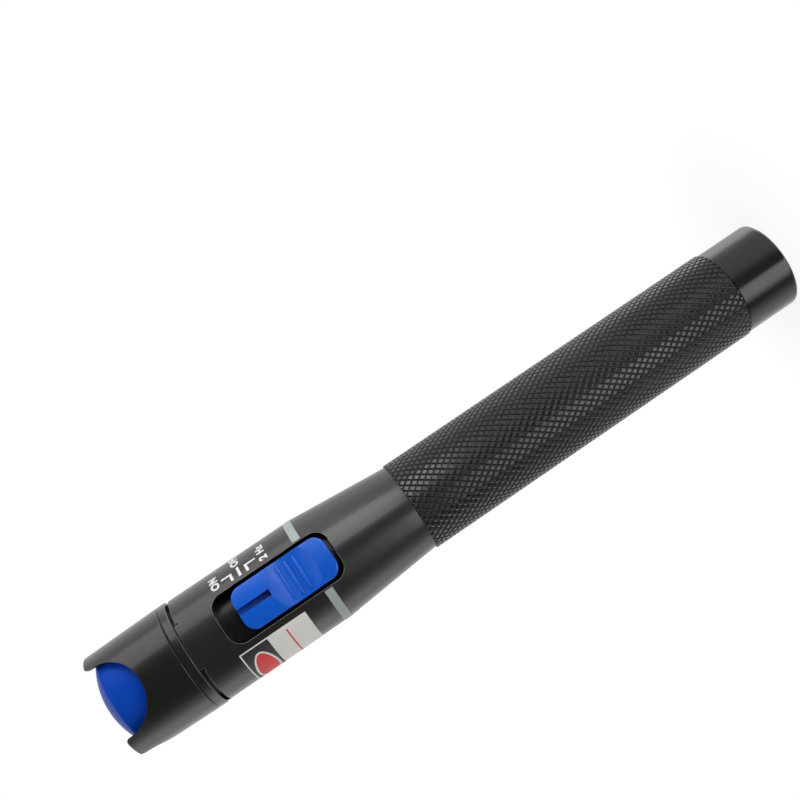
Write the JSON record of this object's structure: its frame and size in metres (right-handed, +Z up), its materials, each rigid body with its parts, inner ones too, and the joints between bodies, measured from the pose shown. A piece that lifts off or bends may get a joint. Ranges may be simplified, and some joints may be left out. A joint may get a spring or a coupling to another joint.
{
  "type": "visual fault locator",
  "caption": "Pen-shaped visible-laser fault finder for optical fibre: knurled battery barrel, slide switch, scalloped front crown over a 2.5 mm ferrule port, and a push-in dust cap.",
  "frame": {"origin": "centre of the tail cap's flat end, on the surface that the pen stands on", "axes": "+Z up the pen's axis from the tail to the head, -Y out of the mode switch"},
  "size_m": [0.03, 0.03, 0.2099],
  "materials": {
    "black_anodised": "satin black anodised aluminium",
    "knurled_black": "black anodised aluminium, diamond knurled",
    "blue_plastic": "glossy royal blue moulded plastic",
    "black_plastic": "glossy black moulded plastic",
    "grey_plastic": "plain grey insulating plastic",
    "board_green": "glass-fibre circuit board",
    "brass": "turned brass",
    "nickel": "nickel-plated turned metal",
    "spring_steel": "bright spring wire",
    "zirconia": "white zirconia ceramic",
    "lens_glass": "clear optical glass",
    "cell_jacket": "plain cell jacket",
    "seal_rubber": "black nitrile rubber"
  },
  "bodies": {
    "tail": {"tail_cap": "black_anodised", "tail_contact": "brass", "tail_spring": "spring_steel"},
    "seal": {"tail_o_ring": "seal_rubber"},
    "switch": {"slide_button": "blue_plastic", "switch_lever": "grey_plastic"},
    "cap": {"dust_cap": "blue_plastic"},
    "pen": {"knurled_barrel": "knurled_black", "battery_liner": "grey_plastic", "rear_cell": "cell_jacket", "front_cell": "cell_jacket", "main_body": "black_anodised", "body_o_ring": "seal_rubber", "contact_carrier": "grey_plastic", "positive_contact": "brass", "circuit_board": "board_green", "switch_case": "black_plastic", "switch_track": "black_plastic", "nose_plug": "black_anodised", "laser_barrel": "brass", "laser_diode": "nickel", "collimating_lens": "lens_glass", "port_adapter": "nickel", "ceramic_sleeve": "zirconia", "collar_ring": "black_anodised", "front_crown": "black_anodised"}
  },
  "joints": [
    {"name": "cap_turn", "type": "hinge", "parent": "tail", "child": "seal", "pos_m": [0, 0, 0.0185], "axis": [0, 0, 1], "range_deg": [0, 1440]},
    {"name": "cap_lift", "type": "slide", "parent": "seal", "child": "pen", "axis": [0, 0, 1], "range_m": [0, 0.006]},
    {"name": "mode_slide", "type": "slide", "parent": "pen", "child": "switch", "axis": [0, 0, 1], "range_m": [0, 0.0048]},
    {"name": "dust_cap_pull", "type": "slide", "parent": "pen", "child": "cap", "axis": [0, 0, 1], "range_m": [0, 0.03]}
  ],
  "couplings": [
    {"joint": "cap_turn", "follows": "cap_lift", "rad_per_m": 4188.8}
  ]
}
